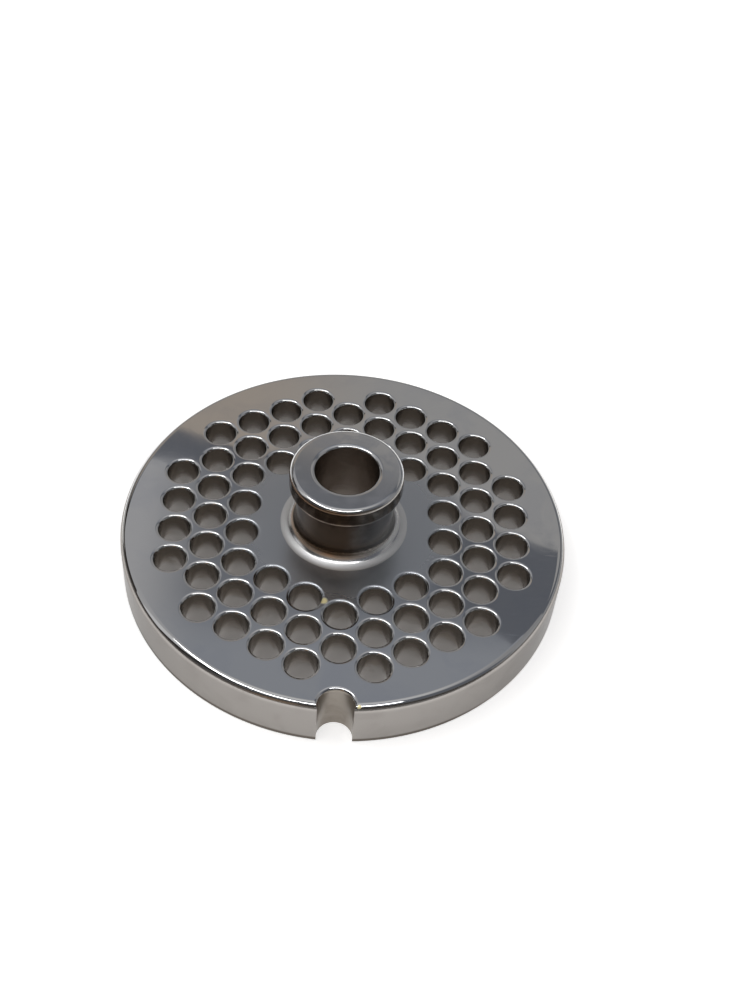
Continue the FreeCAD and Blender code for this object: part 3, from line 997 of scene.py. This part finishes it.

# %% [markdown]
# ### Side of the hub
# The side of the hub has three looks. The foot of its fillet is satin, then comes a polished line, and above
# it the neck and the flange's side are painted dark brown as painted shade, darkest on the left. Where that
# painted shade begins on the left, a warm yellow is painted as a painted glint. On the flange's lower edge
# the painted shade is half lifted, which paints a bright line there. All of this is one material, which reads
# the height above the face and, for the painted shade, how far to the right a place lies.

# %% Side of the hub
SATIN_TO = (0.2, 0.42)
SOFT_FROM = (0.45, 0.8)
STRAW_GLINT_FROM = (0.5, 0.8)
PAINTED_SHADE_FROM = (0.75, 1.25)
SHADE_FADES_TO_RIGHT = (0.0, 5.5)
# The warm yellow is a painted glint, and the two browns are painted shade, darker on the left.
PAINTED_STRAW_GLINT = (0.7, 0.55, 0.44)
PAINTED_SHADE_BROWN = (0.085, 0.056, 0.037)
PAINTED_SHADE_RIGHT = (0.27, 0.257, 0.243)
LIP_HIGHLIGHT = 0.45
SATIN_ROUGHNESS = 0.3
LINE_ROUGHNESS = 0.17
SOFT_ROUGHNESS = 0.36
UPPER_SMOOTHER_BY = 0.14
tree, metal, place = steel("turned_hub")
parts = take_apart(tree, place)
up = calculate(tree, "SUBTRACT", parts["Z"], FACE)
patchy = use(tree, smudges, place, {"Size": 2.5, "Amount": 0.8})
to_right = ramp(tree, calculate(tree, "ADD", parts["X"], patchy), *SHADE_FADES_TO_RIGHT)
to_left = calculate(tree, "SUBTRACT", 1.0, to_right)
# Painted glint: warm yellow where the painted shade starts on the left.
painted_warm_glint = calculate(tree, "MULTIPLY", ramp(tree, up, *STRAW_GLINT_FROM), to_left)
steel_with_warm_glint = mix_colours(tree, painted_warm_glint, BRIGHT_STEEL, PAINTED_STRAW_GLINT)
# Painted shade: dark brown on the left, lighter towards the right.
film = mix_colours(tree, to_right, PAINTED_SHADE_BROWN, PAINTED_SHADE_RIGHT)
# Painted highlight: the painted shade is half lifted on the flange's lower edge.
lip = calculate(tree, "COMPARE", up, LEDGE - FACE + FLANGE_BREAK / 2)
lip.node.inputs[2].default_value = FLANGE_BREAK
painted_shade_mask = calculate(tree, "SUBTRACT", ramp(tree, up, *PAINTED_SHADE_FROM), calculate(tree, "MULTIPLY", lip, LIP_HIGHLIGHT))
stain_and_painted_light(tree, metal, painted_shade_mask, steel_with_warm_glint, film)
satin = ramp(tree, up, *SATIN_TO, SATIN_ROUGHNESS, 0.0)
soft = ramp(tree, up, *SOFT_FROM, LINE_ROUGHNESS, SOFT_ROUGHNESS)
smoother = ramp(tree, up, *PAINTED_SHADE_FROM, 0.0, -UPPER_SMOOTHER_BY)
rough = calculate(tree, "ADD", satin, calculate(tree, "ADD", soft, smoother))
join(tree, rough, metal.inputs["Roughness"])
bump(tree, metal, use(tree, turning, place, {"Spacing": 0.35}), 6.0)
print("turned_hub: film from", PAINTED_SHADE_FROM[0], "mm above the face,", len(tree.nodes), "nodes")

# %% [markdown]
# ### Cutting face
# The knife runs on the cutting face, so it is ground flat and clean, with faint rings. It lies on
# the floor here, and can be seen once the plate is picked up.

# %% Cutting face
GROUND_STEEL = (0.58, 0.58, 0.575)
GROUND_DIRT = (0.5, 0.5, 0.5)
tree, metal, place = steel("cutting_face", 0.2)
stain_and_painted_light(tree, metal, use(tree, smudges, place, {"Size": 8.0, "Amount": 0.8}), GROUND_STEEL, GROUND_DIRT)
bump(tree, metal, use(tree, turning, place, {"Spacing": 0.25}), 1.5)
print("materials:", [stuff.name for stuff in piece.data.materials])
